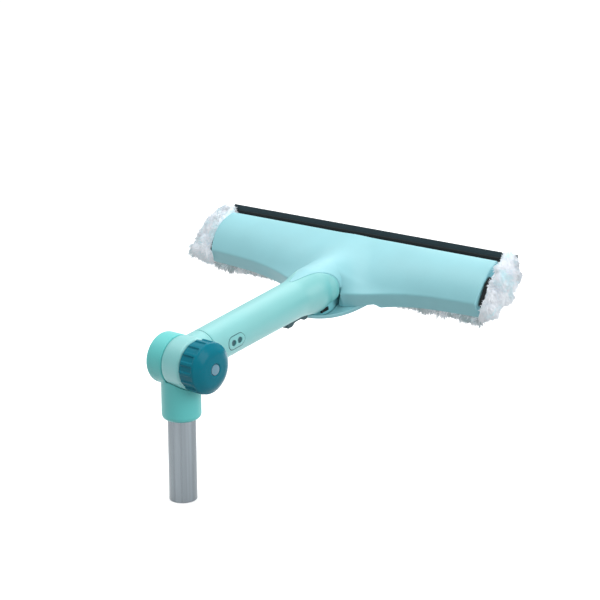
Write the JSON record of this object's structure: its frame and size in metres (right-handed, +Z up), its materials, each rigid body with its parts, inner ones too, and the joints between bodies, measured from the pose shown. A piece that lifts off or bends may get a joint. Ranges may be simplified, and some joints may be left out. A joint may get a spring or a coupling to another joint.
{
  "type": "window cleaning squeegee",
  "caption": "Wide window squeegee and microfibre washer head on a grip arm, held to a pole by a tilting clamp joint with a knob.",
  "frame": {"origin": "centre of the pole tube's lower end", "axes": "+Z up along the pole, +X along the tilt axis towards the clamp knob, +Y the way the arm and head reach out at rest"},
  "size_m": [0.3564, 0.2762, 0.1908],
  "materials": {
    "mint": "satin moulded plastic",
    "socket_mint": "satin moulded plastic",
    "pale_blue": "satin moulded plastic",
    "deep_blue": "glossy moulded plastic",
    "cap_blue": "glossy moulded plastic",
    "slate": "fine textured plastic",
    "black": "matt extruded plastic",
    "rubber": "smooth soft rubber",
    "fibre": "long-pile microfibre",
    "hook": "woven hook strip",
    "friction": "pressed friction lining",
    "aluminium": "drawn and anodised",
    "steel": "zinc plated",
    "brass": "turned"
  },
  "bodies": {
    "pole": {"pole_tube": "aluminium", "pole_socket": "socket_mint", "tube_screw": "steel", "clamp_bolt": "steel", "bolt_cap": "socket_mint", "friction_disc": "friction", "thrust_washer": "steel"},
    "knob": {"clamp_knob": "deep_blue", "knob_insert": "brass", "knob_cap": "cap_blue"},
    "arm": {"arm_knuckle": "mint", "arm_grip": "mint", "button_spring": "steel", "latch_spring": "steel", "neck_socket": "pale_blue", "top_shell": "pale_blue", "base_shell": "pale_blue", "shell_screw_1": "steel", "shell_screw_2": "steel", "shell_screw_3": "steel", "shell_screw_4": "steel", "neck_screw_1": "steel", "neck_screw_2": "steel", "blade_rail": "black", "rubber_blade": "rubber", "rail_cap_left": "black", "rail_cap_right": "black", "cover_clip_left": "black", "cover_clip_right": "black", "grip_strip_left": "hook", "grip_strip_right": "hook", "cover_pad": "fibre", "cover_end_left": "fibre", "cover_end_right": "fibre"},
    "button": {"click_button": "mint"},
    "latch": {"release_slider": "slate", "latch_bar": "slate"}
  },
  "joints": [
    {"name": "arm_tilt", "type": "hinge", "parent": "pole", "child": "arm", "pos_m": [0, 0, 0.122], "axis": [1, 0, 0], "range_deg": [0, 163]},
    {"name": "knob_turn", "type": "hinge", "parent": "pole", "child": "knob", "pos_m": [0.026, 0, 0.122], "axis": [1, 0, 0], "range_deg": [0, 360]},
    {"name": "button_press", "type": "slide", "parent": "arm", "child": "button", "axis": [-1, 0, 0], "range_m": [0, 0.003], "stiffness_N_per_m": 500, "springref_m": -0.001},
    {"name": "latch_slide", "type": "slide", "parent": "arm", "child": "latch", "axis": [0, -0.9891, -0.1469], "range_m": [0, 0.005], "stiffness_N_per_m": 500, "springref_m": -0.001}
  ]
}
